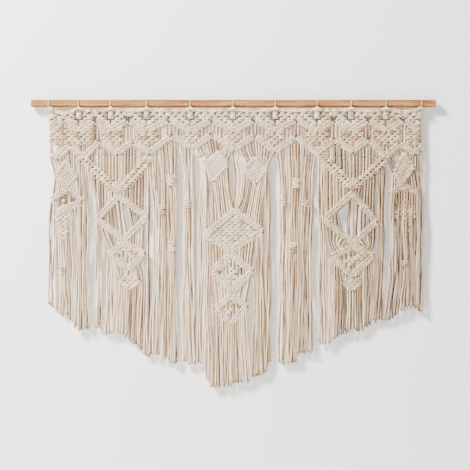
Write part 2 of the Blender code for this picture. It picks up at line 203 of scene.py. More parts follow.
def tube(points, radius, sides, length_from):
    """One cord as arrays: vertices, quads, cord coordinates of the quads' corners, end rings and lengths."""
    points = np.asarray(points, float)
    count = len(points)
    radius = np.broadcast_to(np.asarray(radius, float), (count,))
    ahead = np.gradient(points, axis=0)
    ahead /= np.linalg.norm(ahead, axis=1, keepdims=True)
    side = np.zeros((count, 3))
    start = np.cross(ahead[0], (0.0, 1.0, 0.0) if abs(ahead[0][1]) < 0.9 else (1.0, 0.0, 0.0))
    side[0] = start / np.linalg.norm(start)
    for i in range(1, count):
        turned = side[i - 1] - np.dot(side[i - 1], ahead[i]) * ahead[i]
        side[i] = turned / np.linalg.norm(turned)
    other = np.cross(ahead, side)
    angle = 2 * pi * np.arange(sides) / sides
    spokes = np.cos(angle)[None, :, None] * side[:, None] + np.sin(angle)[None, :, None] * other[:, None]
    vertices = (points[:, None] + radius[:, None, None] * spokes).reshape(-1, 3)
    i, k = np.meshgrid(np.arange(count - 1), np.arange(sides), indexing="ij")
    following = (k + 1) % sides
    here, there = i * sides, (i + 1) * sides
    quads = np.stack([here + k, here + following, there + following, there + k], -1)
    steps = np.linalg.norm(np.diff(points, axis=0), axis=1)
    run = length_from + np.concatenate([[0], np.cumsum(steps)])
    low, high = k / sides, (k + 1) / sides
    places = np.stack([
        np.stack([low, run[i]], -1), np.stack([high, run[i]], -1),
        np.stack([high, run[i + 1]], -1), np.stack([low, run[i + 1]], -1),
    ], 2)
    first = np.arange(sides)[::-1]
    last = (count - 1) * sides + np.arange(sides)
    return vertices, quads.reshape(-1, 4), places.reshape(-1, 2), (first, last), run


def cord_piece(name, runs, material, sides=8):
    """A piece made of many cords. Each run is (points, radius or radii, shade from 0 to 2). The cords are
    palest in the middle, and deepen a little to the left and more to the right, most of all low down: partly
    painted shade for the light falling off towards the lower right, partly the cotton's own warmer tone
    there.
    """
    vertices, loops, sizes, places, shades = [], [], [], [], []
    base = 0
    for points, radius, shade in runs:
        # The twist is counted from the dowel down, so that a strand's runs on from piece to piece.
        found, quads, spots, ends, run = tube(points, radius, sides, 0.37 * shade - points[0][2])
        vertices.append(found)
        loops.append(quads.ravel() + base)
        sizes.append(np.full(len(quads), 4))
        places.append(spots)
        for ring, at in zip(ends, (run[0], run[-1])):
            loops.append(ring + base)
            sizes.append([sides])
            places.append(np.stack([np.full(sides, 0.5), np.full(sides, at)], -1))
        # Partly painted shade: Shade grows away from the middle, most to the right and low down, as the light
        # falls off.
        across = found[:, 0] / 0.5
        to_right = np.interp(-found[:, 2], [0.08, 0.25], [0.22, 0.56])
        shades.append(shade + 0.08 + np.where(across > 0, to_right * across, -0.1 * across))
        base += len(found)
    vertices, loops, sizes = (np.concatenate(part) for part in (vertices, loops, sizes))
    mesh = bpy.data.meshes.new(name)
    mesh.vertices.add(len(vertices))
    mesh.vertices.foreach_set("co", vertices.ravel().astype(np.float32))
    mesh.loops.add(len(loops))
    mesh.loops.foreach_set("vertex_index", loops.astype(np.int32))
    mesh.polygons.add(len(sizes))
    mesh.polygons.foreach_set("loop_start", np.concatenate([[0], np.cumsum(sizes)[:-1]]).astype(np.int32))
    mesh.polygons.foreach_set("use_smooth", sizes == 4)
    mesh.update(calc_edges=True)
    cord_map = mesh.uv_layers.new(name="Cord")
    cord_map.data.foreach_set("uv", np.concatenate(places).ravel().astype(np.float32))
    shade_of = mesh.attributes.new("Shade", "FLOAT", "POINT")
    shade_of.data.foreach_set("value", np.concatenate(shades).astype(np.float32))
    mesh.validate()
    mesh.materials.append(material)
    piece = bpy.data.objects.new(name, mesh)
    bpy.context.scene.collection.objects.link(piece)
    return piece


def maths(tree, operation, *values):
    sockets = {f"_{i}": value for i, value in enumerate(values)}
    return node(tree, "Math", {"operation": operation}, **sockets).outputs[0]


def twisted_cotton(name, pale, middle, deep, ply_pitch, ply_depth):
    """Soft three-ply cotton: the plies wind round the cord, fine fibres stand off it, and nothing shines.
    A cord's Shade runs from pale at 0 to deep at 1. Above 2 it is painted near-black brown: painted shade on
    the core and backing cords that knots and ribs shut in.
    """
    material, tree, shader = new_material(name)
    spot = node(tree, "UVMap", {"uv_map": "Cord"}).outputs["UV"]
    parts = node(tree, "SeparateXYZ", Vector=spot)
    winding = maths(tree, "ADD", maths(tree, "DIVIDE", parts.outputs["Y"], ply_pitch), parts.outputs["X"])
    # Three plies lie side by side in one turn. Each shows as a rounded ridge between two grooves.
    ply = maths(tree, "ABSOLUTE", maths(tree, "SINE", maths(tree, "MULTIPLY", winding, 3 * pi)))
    place = node(tree, "TexCoord").outputs["Object"]
    # Fibres are a few hundredths of a millimetre thick. They are drawn near 0.5 mm, so that they show.
    fibres = node(tree, "TexNoise", Vector=place, Scale=1900.0, Detail=3.0, Roughness=0.7).outputs["Fac"]
    blotches = node(tree, "TexNoise", Vector=place, Scale=70.0, Detail=2.0).outputs["Fac"]
    shade = node(tree, "Attribute", {"attribute_name": "Shade"}).outputs["Fac"]
    spread = maths(tree, "MULTIPLY_ADD", shade, 0.4, maths(tree, "MULTIPLY", blotches, 0.2))
    # The last stop, near-black brown, is painted shade for cords shut in behind knots and ribs.
    body = colour_ramp(tree, spread, [(0.08, pale), (0.28, middle), (0.52, deep), (0.86, "#54402C")])
    # Painted shade: the grooves between the plies are painted darker, and the fibre noise varies the tone a
    # little.
    groove_shade = node(tree, "MapRange", Value=ply, From_Max=0.55, To_Min=0.7)
    fuzz = node(tree, "MapRange", Value=fibres, From_Min=0.3, From_Max=0.7, To_Min=0.93, To_Max=1.03)
    groove_shade_and_fibres = maths(tree, "MULTIPLY", groove_shade.outputs["Result"], fuzz.outputs["Result"])
    height = maths(tree, "MULTIPLY_ADD", fibres, 0.25, ply)
    bump = node(tree, "Bump", Strength=0.7, Distance=ply_depth, Height=height).outputs["Normal"]
    feed(tree, shader, {
        "Base Color": multiplied(tree, 1.0, body, groove_shade_and_fibres), "Roughness": 0.92, "Specular IOR Level": 0.25,
        "Sheen Weight": 0.25, "Sheen Roughness": 0.6, "Normal": bump,
    })
    return material


tie_cotton = twisted_cotton("Thin twisted cotton tie", "#E9D0A4", "#DDC08F", "#C4A270", 0.006, 0.0003)
tie_places = []
for number in range(1, 12):
    low, high = (Vector(corner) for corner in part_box(f"tie_{number:02}"))
    tie_places.append((low.x + high.x) / 2)
header_low, header_high = (Vector(corner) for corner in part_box("header_cord"))
HEADER_RADIUS = (header_high.z - header_low.z) / 2
HEADER_Z = (header_high.z + header_low.z) / 2


def header_piece(name, runs, cotton, cad_node, sides=6):
    """A piece of cords that swings with the header and shows in place of one CAD node."""
    piece = cord_piece(name, runs, cotton, sides)
    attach(piece, "header")
    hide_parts(cad_node)
    return piece


def tie_loop(x):
    """The closed run of a tie, starting and ending in its knot: over the dowel and under the header cord."""
    over, under = ROD_RADIUS + LOOP_SLACK + TIE_CORD, HEADER_RADIUS + CORD_SLACK + TIE_CORD
    lean = asin((over - under) / -HEADER_Z)
    points = []
    for i in range(19):
        angle = pi + lean - (pi + 2 * lean) * i / 18
        points.append((x, over * cos(angle), over * sin(angle)))
    for i in range(9):
        angle = -lean - (pi - 2 * lean) * i / 8
        points.append((x, under * cos(angle), HEADER_Z + under * sin(angle)))
    knot = [(a + b) / 2 for a, b in zip(points[0], points[-1])]
    return [knot, *points, knot], Vector(knot)


def overhand_knot(middle, size, cord):
    """A small overhand knot: one cord that winds twice round itself, and its two cut tails."""
    turns = []
    for i in range(25):
        angle = 4 * pi * i / 24
        reach = size * (1 + 0.28 * cos(1.5 * angle))
        out = size * 0.55 * sin(1.5 * angle) - 0.4 * MM
        turns.append(middle + Vector((reach * cos(angle), out, 0.8 * reach * sin(angle))))
    tails = []
    for way in (-1, 1):
        lean = vary(0.5, 1.4) * way
        drop = vary(5, 9) * MM
        start = middle + Vector((way * size * 0.4, -1.6 * MM, 0))
        tails.append([start + Vector((lean * MM * i, -0.2 * MM * i, -drop * i / 4)) for i in range(5)])
    return [(turns, cord, by_hand.random() * 0.5), *[(tail, cord * 0.9, 0.2) for tail in tails]]


for number, x in enumerate(tie_places, 1):
    loop, knot = tie_loop(x)
    runs = [(loop, TIE_CORD, 0.25), *overhand_knot(knot + Vector((0, -1.2 * MM, 0)), 2.3 * MM, TIE_CORD)]
    header_piece(f"knotted_tie_{number:02}", runs, tie_cotton, f"tie_{number:02}", sides=8)

# Header cord.
# The carrier cord, a length of the same three-ply cotton. The ties hold it up under the dowel, and it
# sags a little from one tie to the next under the weight of all the cords hitched on it.
knot_cotton = twisted_cotton("Knotted three-ply cotton", "#FBEDD8", "#EFD9BA", "#C0A27D", 0.013, 0.0007)
ZONE_SAGS = (10.5, 3.0, 1.4, 2.0, 2.2, 2.6, 2.2, 1.4, 3.0, 6.0)


def header_height(x):
    """The height of the header cord's axis at x. It sags most in the end zones, where the ties are slack."""
    for left, right, sag in zip(tie_places, tie_places[1:], ZONE_SAGS):
        if left <= x <= right:
            return HEADER_Z - sag * MM * (0.5 - 0.5 * cos(2 * pi * (x - left) / (right - left)))
    return HEADER_Z


HEADER_STEP = 5 * MM
steps = round((header_high.x - header_low.x) / HEADER_STEP)
header_route = []
for i in range(steps + 1):
    x = header_low.x + (header_high.x - header_low.x) * i / steps
    header_route.append((x, 0.0, header_height(x)))
header_cord = header_piece("header_cord_cotton", [(header_route, HEADER_RADIUS, 0.3)], knot_cotton,
                           "header_cord", sides=12)

# Lark's heads.
# Each working cord is folded in half and hitched on the header cord: both halves pass over it and come
# down through the fold, which lies across them at the front.
CORD = 2.1 * MM
STRAND_PITCH = 4.9 * MM
RIGHT, UP = Vector((1, 0, 0)), Vector((0, 0, 1))
PANEL_ZONES = {
    "left_edge": (0, 1), "left_motif": (1, 3), "left_loose": (3, 4), "centre": (4, 6),
    "right_loose": (6, 7), "right_motif": (7, 9), "right_edge": (9, 10),
}


def shade():
    """A cord's own tone, from pale to deep. Most cords are near the middle."""
    return min(1.1, max(0, by_hand.gauss(0.4, 0.3)))


def wrap(middle, along, up, reach, lean, cord, tone, sweep=150, points=8):
    """A short stretch of cord that wraps over the front of another, square to it, leaning a little."""
    run = []
    for i in range(points):
        angle = radians(sweep) * (2 * i / (points - 1) - 1)
        run.append(middle + up * (reach * sin(angle)) + Vector((0, -0.8 * reach * cos(angle), 0))
                   + along * (lean * (2 * i / (points - 1) - 1)))
    return run, cord, tone


def larks_heads(left, right):
    """The row of lark's heads between two ties."""
    runs = []
    pairs = round((right - left - 2 * TIE_CORD) / (2 * STRAND_PITCH))
    pitch = (right - left - 2.4 * TIE_CORD) / pairs
    for i in range(pairs):
        x = left + 1.2 * TIE_CORD + pitch * (i + 0.5)
        z = header_height(x)
        tone = shade()
        reach = HEADER_RADIUS + 0.8 * CORD
        for way in (-1, 1):
            at = Vector((x + way * pitch * 0.26, 0, z))
            runs.append(wrap(at, RIGHT, UP, reach, way * 0.3 * MM, CORD * 0.95, tone))
        fold = []
        for j in range(7):
            share = 2 * j / 6 - 1
            out = reach + CORD * 1.1 * (1 - share**4) - CORD * 0.6
            fold.append(Vector((x + share * pitch * 0.45, -out, z - reach * 0.75 - 0.5 * MM * share**2)))
        runs.append((fold, CORD * 0.92, tone))
    return runs


# Header square knots.
# Below the loops each tie carries an inverted triangle of square knots, four strands to a knot and every
# row set half a knot across from the one above, so that small dark gaps are left between the knots.
KNOT_HALF_WIDTH = 6.6 * MM
KNOT_HALF_HEIGHT = 3.7 * MM
KNOT_STEP = 9.8 * MM
KNOT_ROW = 8.4 * MM


def square_knot(x, z, way, size=1.0, y=0.0, runs_on=False):
    """A flat square knot: one cord crosses the front twice, the other the back twice, round two core strands.
    In a net its four strands run on in pairs to the two knots of the next row.
    """
    wide, high, proud = KNOT_HALF_WIDTH * size, KNOT_HALF_HEIGHT * size, 4.3 * MM * size
    turn = vary(-0.09, 0.09)
    x += vary(-0.5, 0.5) * MM
    z += vary(-0.4, 0.4) * MM
    tone = shade() * 0.85

    def place(across, out, rise):
        aside = way * (across * wide + turn * rise * high)
        return x + aside, y - out * proud, z + rise * high - turn * across * high

    front = [place(*spot) for spot in (
        (-1.0, 0.15, 0.95), (-0.45, 0.95, 0.9), (0.45, 1.0, 0.65), (0.98, 0.5, 0.05),
        (0.45, 1.0, -0.6), (-0.45, 0.95, -0.9), (-1.0, 0.15, -0.95))]
    back = [place(*spot) for spot in (
        (1.0, 0.1, 0.95), (0.4, -0.9, 0.7), (-0.5, -0.8, 0.35), (-0.98, 0.5, 0.0),
        (-0.5, -0.8, -0.35), (0.4, -0.9, -0.7), (1.0, 0.1, -0.95))]
    cord = CORD * size
    # The back cord, the cores and the legs are painted a little deeper than the front cord, as painted shade
    # inside the knot.
    runs = [(front, cord, tone), (back, cord, tone + 0.1)]
    for side in (-0.28, 0.28):
        core = [(x + side * wide, y - 0.4 * proud, z + rise * high) for rise in (-1.3, 0.0, 1.3)]
        runs.append((core, cord, tone + 0.2))
    for side in (-1, 1) if runs_on else ():
        for strand in (-1, 1):
            leg = [(x + side * (KNOT_STEP * share + strand * 1.7 * MM) * size, y - 0.35 * proud,
                    z + (strand * side * 0.5 * MM - KNOT_ROW * share) * size) for share in (0.1, 0.5, 0.9)]
            runs.append((leg, cord * 0.9, tone + 0.15))
    return runs


# The middle of the upper zigzag row: its peaks lie halfway between ties, and its valleys under them.
UPPER_PEAK, UPPER_VALLEY = -46 * MM, -75 * MM
upper_row = [(tie_places[0] + 5 * MM, UPPER_VALLEY)]
for left, right in zip(tie_places, tie_places[1:]):
    upper_row += [((left + right) / 2, UPPER_PEAK), (right, UPPER_VALLEY)]
upper_row[-1] = (tie_places[-1] - 5 * MM, UPPER_VALLEY)


def height_on(line, x):
    """The height of a line of (x, z) points at x."""
    return float(np.interp(x, [spot[0] for spot in line], [spot[1] for spot in line]))


ROW_HALF = 9.5 * MM


def tie_crown(x, width=1.0):
    """The heap of drawn-up loops under a tie, over four strands and two square knots."""
    runs = []
    for half, rise, proud in ((15, 8.0, 6.4), (10, 8.5, 7.4), (6, 7.0, 8.4), (2.8, 4.6, 8.8)):
        tent = []
        for i in range(9):
            across = i / 4 - 1
            lift = (1 - abs(across)) ** 0.85
            tent.append((x + half * width * MM * across, -(proud + (10.4 - proud) * lift) * MM,
                         HEADER_Z + (-2.5 + rise * lift) * MM))
        runs.append((tent, CORD * 0.82, shade() * 0.7))
    for side in (-5.1, -1.7, 1.7, 5.1):
        stem = [(x + side * width * MM, -2.5 * MM, HEADER_Z - (2 + 8 * i) * MM) for i in range(4)]
        runs.append((stem, CORD * 0.95, shade() * 0.7))
    for row in (0, 1):
        runs += square_knot(x, HEADER_Z - (10 + 8.2 * row) * MM, 1 - 2 * row, 0.88 * width, -1.6 * MM)
    return runs


def header_knots(first, last):
    """The square knots between two ties and the upper row, in rows counted from the tie outwards."""
    runs = []
    left, right = tie_places[first], tie_places[last]
    last_tie = len(tie_places) - 1
    behind = round((right - left) / STRAND_PITCH)
    for k in range(behind):
        x = left + (right - left) * (k + 0.5) / behind
        top, bottom = header_height(x) - 3 * MM, height_on(upper_row, x)
        # The front backing strands are painted near-black brown, as painted shade in the gaps between the
        # knots, and clean strands hang behind them.
        for out, tone in ((1.0, vary(2.1, 2.4)), (4.6, shade())):
            line = []
            for i in range(4):
                line.append((x + vary(-0.6, 0.6) * MM, out * MM, top + (bottom - top) * i / 3))
            runs.append((line, CORD * 0.9, tone))
    for index in range(first, last + 1):
        tie = tie_places[index]
        at_side = index in (0, last_tie)
        reach_left = (tie - tie_places[index - 1]) / 2 if index > first else 0
        reach_right = (tie_places[index + 1] - tie) / 2 if index < last else 0
        for row in range(7):
            z = HEADER_Z - 10.5 * MM - KNOT_ROW * row
            for step in range(-6, 7):
                across = KNOT_STEP * (2 * step + row % 2)
                x = tie + across
                under_tie = abs(across) < MM
                in_zone = -reach_left - MM <= across <= reach_right - MM
                in_panel = under_tie or left + 6.5 * MM < x < right - 6.5 * MM
                in_crown = row < 3 and abs(across) < 12 * MM and not at_side
                at_edge = row > 0 and min(across + reach_left, reach_right - across) < 6 * MM
                too_low = z - KNOT_HALF_HEIGHT < height_on(upper_row, x) + ROW_HALF * 0.7
                of_next = under_tie and (at_side or index == first)
                if in_zone and in_panel and not (in_crown or at_edge or too_low or of_next):
                    sagged = z + (header_height(x) - HEADER_Z) * max(0, 1 - row / 4)
                    runs += square_knot(x, sagged, 1 if row % 2 else -1, runs_on=True)
        if at_side:
            runs += tie_crown(tie + (6.5 * MM if index == 0 else -6.5 * MM), 0.6)
        elif index > first:
            runs += tie_crown(tie)
    for left, right in zip(tie_places[first:last], tie_places[first + 1 : last + 1]):
        for fan in (-1, 0, 1):
            spread = []
            for i in range(4):
                x = (left + right) / 2 + fan * (5.5 - 1.3 * i) * MM
                spread.append((x, -3 * MM, HEADER_Z - (8 + 3.4 * i) * MM))
            runs.append((spread, CORD * 0.85, shade()))
    return runs


for panel, (first, last) in PANEL_ZONES.items():
    runs = []
    for left, right in zip(tie_places[first:last], tie_places[first + 1 : last + 1]):
        runs += larks_heads(left, right)
    runs += header_knots(first, last)
    header_piece(f"{panel}_header_knots", runs, knot_cotton, f"{panel}_knotted_band")

# Upper zigzag row.
# Two rows of diagonal half hitches side by side. Every strand in turn is hitched twice round a carrier
# cord that runs down the diagonal, which gives a raised rib of slanting loops.
HITCH_PITCH = 5.3 * MM
ROW_GAP = 8.4 * MM


def hitched_row(start, end, rows=2, bare=0.0):
    """Straight rows of half hitches from start to end, given as (x, z) in metres: carriers and loops.
    At the row's upper end the carriers are bare for a short way, which leaves a dark eye at each peak.
    """
    start, end = (Vector((spot[0], -1.3 * MM, spot[1])) for spot in (start, end))
    along = (end - start).normalized()
    up = Vector((-along.z, 0, along.x))
    if up.z < 0:
        up = -up
    runs = []
    loops = max(2, round((end - start).length / HITCH_PITCH))
    # Two cords run along the back of the rib's lower edge: the front one is painted near-black brown, as
    # painted shade under the rib, and the one behind it is clean.
    for out, tone in ((2.4, 2.3), (5.6, 0.4)):
        edge = Vector((0, out * MM, 0)) - up * (ROW_GAP * rows / 2 + 0.6 * MM)
        runs.append(([start.lerp(end, share) + edge for share in (0.1, 0.5, 0.9)], CORD * 0.85, tone))
    for row in range(rows):
        shift = up * (ROW_GAP * ((rows - 1) / 2 - row))
        lean = 2.1 * MM * (1 if along.z < 0 else -1)
        carrier = [start + shift - along * 2 * MM, (start + end) / 2 + shift, end + shift + along * 2 * MM]
        # The carriers are painted near-black brown too, as painted shade deep in the rib and in the eye at
        # each peak.
        runs.append((carrier, CORD * 0.85, 2.3))
        for i in range(loops):
            share = (i + 0.25 + 0.5 * (row % 2)) / loops
            if (share if along.z < 0 else 1 - share) * (end - start).length < bare:
                continue
            at = start.lerp(end, share) + shift
            at += Vector((0, vary(-1.0, 0.5), vary(-0.5, 0.5))) * MM
            size = CORD * vary(0.85, 1.0)
            reach = CORD * vary(1.9, 2.2)
            runs.append(wrap(at, along, up, reach, lean, size, shade() * 0.7, 170, 9))
    return runs


def hitched_zigzag(line, rows=2, bare=0.0):
    """Hitched rows that follow a bent line, each stretch starting where the last one ends."""
    runs = []
    for start, end in zip(line, line[1:]):
        runs += hitched_row(start, end, rows, bare)
    return runs


header_piece("upper_zigzag_hitches", hitched_zigzag(upper_row, bare=5 * MM), knot_cotton,
             "upper_zigzag_row")

# Lower zigzag row.
# The second double row of half hitches. It was knotted by eye, so its peaks and valleys differ from
# zone to zone and drop towards the two sides.
def spots(line):
    """Points given in millimetres, as (x, depth under the dowel's axis), in metres with Z up.
    A level line can be given as (left, right, depth).
    """
    if not isinstance(line[0], tuple):
        left, right, depth = line
        line = (left, depth), (right, depth)
    return [(x * MM, -depth * MM) for x, depth in line]


lower_row = spots([
    (-499, 141), (-484, 150), (-447, 113), (-413, 151), (-366, 103), (-320, 137), (-276, 106), (-232, 135),
    (-169, 89), (-108, 122), (-59, 85), (1, 127), (59, 88), (113, 131), (175, 92), (230, 137),
    (277, 99), (327, 132), (374, 97), (417, 148), (458, 109), (498, 137), (512, 128),
])
header_piece("lower_zigzag_hitches", hitched_zigzag(lower_row, bare=4 * MM), knot_cotton,
             "lower_zigzag_row")

# Strands between the zigzag rows.
# The same strands run on from one row to the next. Under each tie a few are knotted again in a small
# diamond of square knots, and the rest hang straight between the rows.
strand_cotton = twisted_cotton("Loose three-ply cotton", "#F9E8D0", "#E8CCA8", "#AC8A64", 0.014, 0.0007)


def point_along(line, share):
    """The point of a line of (x, z), from left to right, at a share of its width."""
    x = line[0][0] + (line[-1][0] - line[0][0]) * share
    return x, height_on(line, x)


# From front to back, strands hang this many times as far apart as the depth that is asked for.
LAYER_SPREAD = 1.7


def hang(stops, step=8 * MM):
    """A smooth line of (x, z) down through stops. It leaves the first one straight down."""
    xs, zs = [spot[0] for spot in stops], [spot[1] for spot in stops]
    slopes = [(xs[i + 1] - xs[i]) / (zs[i + 1] - zs[i]) for i in range(len(xs) - 1)]
    tangents = [slopes[0] * 0.35]
    for before, after in zip(slopes, slopes[1:]):
        tangents.append(0.0 if before * after <= 0 else 2 * before * after / (before + after))
    tangents.append(slopes[-1] * 0.6)
    line = []
    for i in range(len(slopes)):
        drop = zs[i + 1] - zs[i]
        pieces = max(5 if len(slopes) == 1 else 2, round(-drop / step))
        for j in range(pieces + (i == len(slopes) - 1)):
            t = j / pieces
            a, b, c, d = 2 * t**3 - 3 * t**2 + 1, t**3 - 2 * t**2 + t, -2 * t**3 + 3 * t**2, t**3 - t**2
            line.append((a * xs[i] + b * drop * tangents[i] + c * xs[i + 1] + d * drop * tangents[i + 1],
                         zs[i] + drop * t))
    return line


def side_by_side(lines, count, drift, depth, ragged=0.0, back=0.0, groups=0, gather=0.0):
    """Strands side by side, each at the same share of every line's width from the top line to the bottom.
    In mm, drift and depth are how far they wander sideways and in depth, ragged how uneven their ends are,
    back how far behind the rest they hang, and gather how far they draw together into groups.
    """
    strands = []
    if ragged and not groups:
        groups, gather = max(1, round(count / 4.5)), 1.3
    # The groups sway by the first two of these. The third is spare.
    swings = [vary(0, 2 * pi) for _ in range(3)]
    depth *= LAYER_SPREAD
    for k in range(count):
        if k % 4 == 0:
            batch = vary(-0.3, 0.4)
        share = (k + 0.5 + vary(-0.2, 0.2)) / count
        stops = [point_along(lines[0], share)]
        for line in lines[1:]:
            x, z = point_along(line, share)
            if line is lines[-1] and ragged:
                z += vary(-1, 0.8) * ragged * MM
            stops.append((x, min(z, stops[-1][1] - 3 * MM)))
        line = hang(stops)
        top, drop = line[0][1], line[0][1] - line[-1][1]
        layer = (k % 2 - 0.5) * depth + vary(-0.5, 0.5) * depth
        phases = [vary(0, 2 * pi) for _ in range(3)]
        waves = [vary(0.06, 0.11), vary(0.17, 0.32)]
        own = drift * vary(0.4, 1.5)
        run = []
        for x, z in line:
            down = top - z
            free = min(1, down / 0.06) * (1 if ragged else min(1, max(0, drop - down) / 0.03))
            sway = (sin(down / waves[0] * 2 * pi + phases[0]) * 0.3
                    + sin(down / waves[1] * 2 * pi + phases[1]))
            pull = sin(2 * pi * groups * share + swings[0] + down * 9)
            pull *= sin(down * 17 + swings[1])
            nod = sin(down / waves[1] * 2 * pi + phases[2])
            x += (own * sway + gather * pull) * MM * free
            run.append((x, (back + layer + 0.5 * depth * nod * free) * MM, z))
        # Strands in the back layer are a little thinner, and painted deeper as painted shade behind the front
        # strands.
        deeper = layer + back > 0.2 * depth
        tone = max(0, shade() * 0.85 + batch + 0.75 * deeper)
        strands.append((run, CORD * (0.86 if deeper else 1.0), tone))
    return strands


def necked(runs):
    """The same strands, each drawn thin where it comes out of a tight knot at its top."""
    necks = []
    for line, cord, tone in runs:
        down = np.array([line[0][-1] - spot[-1] for spot in line])
        necks.append((line, cord * np.interp(down, [13 * MM, 22 * MM], [0.7, 1.0]), tone))
    return necks


def lowered(line, drop):
    """A line of (x, z) moved down by drop millimetres, or up if it is negative."""
    return [(x, z - drop * MM) for x, z in line]


between = []
for index, (left, right) in enumerate(zip(tie_places, tie_places[1:])):
    middle = (left + right) / 2
    count = round((right - left) / STRAND_PITCH)
    upper = [(left, UPPER_VALLEY), (middle, UPPER_PEAK), (right, UPPER_VALLEY)]
    lower = [(x, height_on(lower_row, x)) for x in np.linspace(left, right, 7)]
    between += necked(side_by_side([lowered(upper, 6), lowered(lower, -4)], count, 0.3, 1.2))
NET_REACH = (42, 38, 34, 28, 22, 20, 22, 28, 34, 40, 42)
for tie, reach in zip(tie_places, NET_REACH):
    for row in range(7):
        z = UPPER_PEAK - 17 * MM - KNOT_ROW * 0.88 * row
        for step in range(-3, 4):
            x = tie + KNOT_STEP * 0.88 * (2 * step + row % 2)
            inside = tie_places[0] + 4 * MM < x < tie_places[-1] - 3 * MM
            clear = height_on(lower_row, x) + ROW_HALF + MM < z < height_on(upper_row, x) - ROW_HALF - MM
            if inside and clear and abs(x - tie) < reach * MM:
                between += square_knot(x, z, 1 if row % 2 else -1, 0.88, -1.2 * MM, runs_on=True)
header_piece("strands_between_zigzags", between, strand_cotton, "zigzag_strands")

# Strands below the lower zigzag row.
# Each strand leaves the zigzag as one whole cord. What lies above the line that a panel swings on keeps
# with the header, and what lies below it goes with the panel.
SWING_START, SWING_END = -150 * MM, -200 * MM
# A strand that ends below this depth ends free, and one that ends above it runs into a knot.
FRINGE_TOP = -530 * MM
header_runs = []


def curtain(count, drift, depth, *lines, **how):
    """Strands side by side along lines of points in mm, from the top line down."""
    return side_by_side([spots(line) for line in lines], count, drift, depth, **how)


def fringe(count, drift, depth, *lines, **how):
    """Strands that hang free at their lower ends, which are cut by eye."""
    return curtain(count, drift, depth, *lines, ragged=6, **how)


def split_at_swing(runs):
    """The parts of the strands below the swing line. The parts above it join the header's strands."""
    below = []
    for points, radius, tone in runs:
        upper = sum(1 for point in points if point[2] >= SWING_START)
        if upper >= 2:
            radius = necked([(points, radius, tone)])[0][1]
            header_runs.append((points[:upper], radius[:upper], tone))
            points, radius = points[upper - 1 :], radius[upper - 1 :]
        if len(points) > 1:
            below.append((points, radius, tone))
    return below


def frayed(runs):
    """Each strand's cut end opened into its three plies over the last few millimetres."""
    plies = []
    for points, radius, tone in runs:
        end, before = (Vector(points[i]) for i in (-1, -3))
        down = (end - before).normalized()
        turn = vary(0, 2 * pi)
        for ply in range(3):
            angle = turn + ply * 2 * pi / 3
            out = Vector((cos(angle), 0.6 * sin(angle), 0))
            reach = vary(3.5, 8) * MM
            line = [end - down * 2 * MM + out * radius * 0.35]
            for i in range(1, 4):
                line.append(end + down * (reach * i / 3) + out * (radius * 0.5 + 0.75 * MM * i**1.5 / 2))
            plies.append((line, [radius * share for share in (0.66, 0.68, 0.6, 0.35)], tone + 0.35))
    return plies


def panel_piece(name, runs, cotton, nodes=(), sides=6):
    """A piece of a panel: its cords as one mesh, set in place, with the CAD nodes it stands for hidden."""
    piece = cord_piece(name, runs, cotton, sides)
    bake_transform(piece)
    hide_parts(*nodes)
    return piece


def knotted_piece(name, runs, panel, part):
    panel_piece(name, runs, knot_cotton, [f"{panel}_{part}"])


def loose_piece(name, runs, panel, part):
    panel_piece(name, runs, strand_cotton, [f"{panel}_{part}"])


def fringe_piece(name, runs, panel, part, declared):
    """A fringe: its longest strands are pieces of their own, and the rest and all frayed ends are one."""
    hanging = [run for run in runs if run[0][-1][2] < FRINGE_TOP]
    full = [run for run in hanging if run[1] == CORD]
    longest = sorted(full, key=lambda run: run[0][-1][2])[: declared * 2 : 2]
    rest = [run for run in runs if run not in longest]
    loose_piece(name, split_at_swing(rest) + frayed(hanging), panel, part)
    for number, run in enumerate(longest, 1):
        strand = panel_piece(f"{name}_strand_{number}", [run], strand_cotton, sides=8)


def knot_net(outline, margin=6.5, size=0.86, sparse=0.0):
    """Alternating square knots that fill an outline with a top, right, bottom and left corner, in mm."""
    top, right, bottom, left = spots(outline)
    runs = []
    rise = KNOT_ROW * size
    rows = max(1, int((top[1] - bottom[1] - 10 * MM) / rise))
    for row in range(rows):
        z = (top[1] + bottom[1]) / 2 + rise * ((rows - 1) / 2 - row)
        low_x = np.interp(-z, [-top[1], -left[1], -bottom[1]], [top[0], left[0], bottom[0]]) + margin * MM
        high_x = np.interp(-z, [-top[1], -right[1], -bottom[1]], [top[0], right[0], bottom[0]]) - margin * MM
        middle = (top[0] + bottom[0]) / 2
        for i in range(-6, 7):
            x = middle + KNOT_STEP * size * (2 * i + row % 2)
            if low_x <= x <= high_x and by_hand.random() >= sparse:
                runs += square_knot(x, z, 1 if row % 2 else -1, size)
    return runs


def knot_cluster(x, depth, wide, high):
    """A small bunch of square knots, tied by hand round a group of loose strands."""
    rows = max(2, round(high * MM / (KNOT_ROW * 0.82)))
    size = min(1.25, wide * MM / (2 * KNOT_HALF_WIDTH))
    runs = []
    for row in range(rows):
        z = -depth * MM + (rows - 1) * KNOT_ROW * 0.41 - row * KNOT_ROW * 0.82
        if wide > 24 and row % 2 == 0:
            for way in (-1, 1):
                runs += square_knot(x * MM + way * KNOT_STEP * 0.66, z, way, 0.85, y=-1 * MM)
        else:
            runs += square_knot(x * MM, z, 1 - 2 * (row % 2), size, y=-1.5 * MM)
    return runs


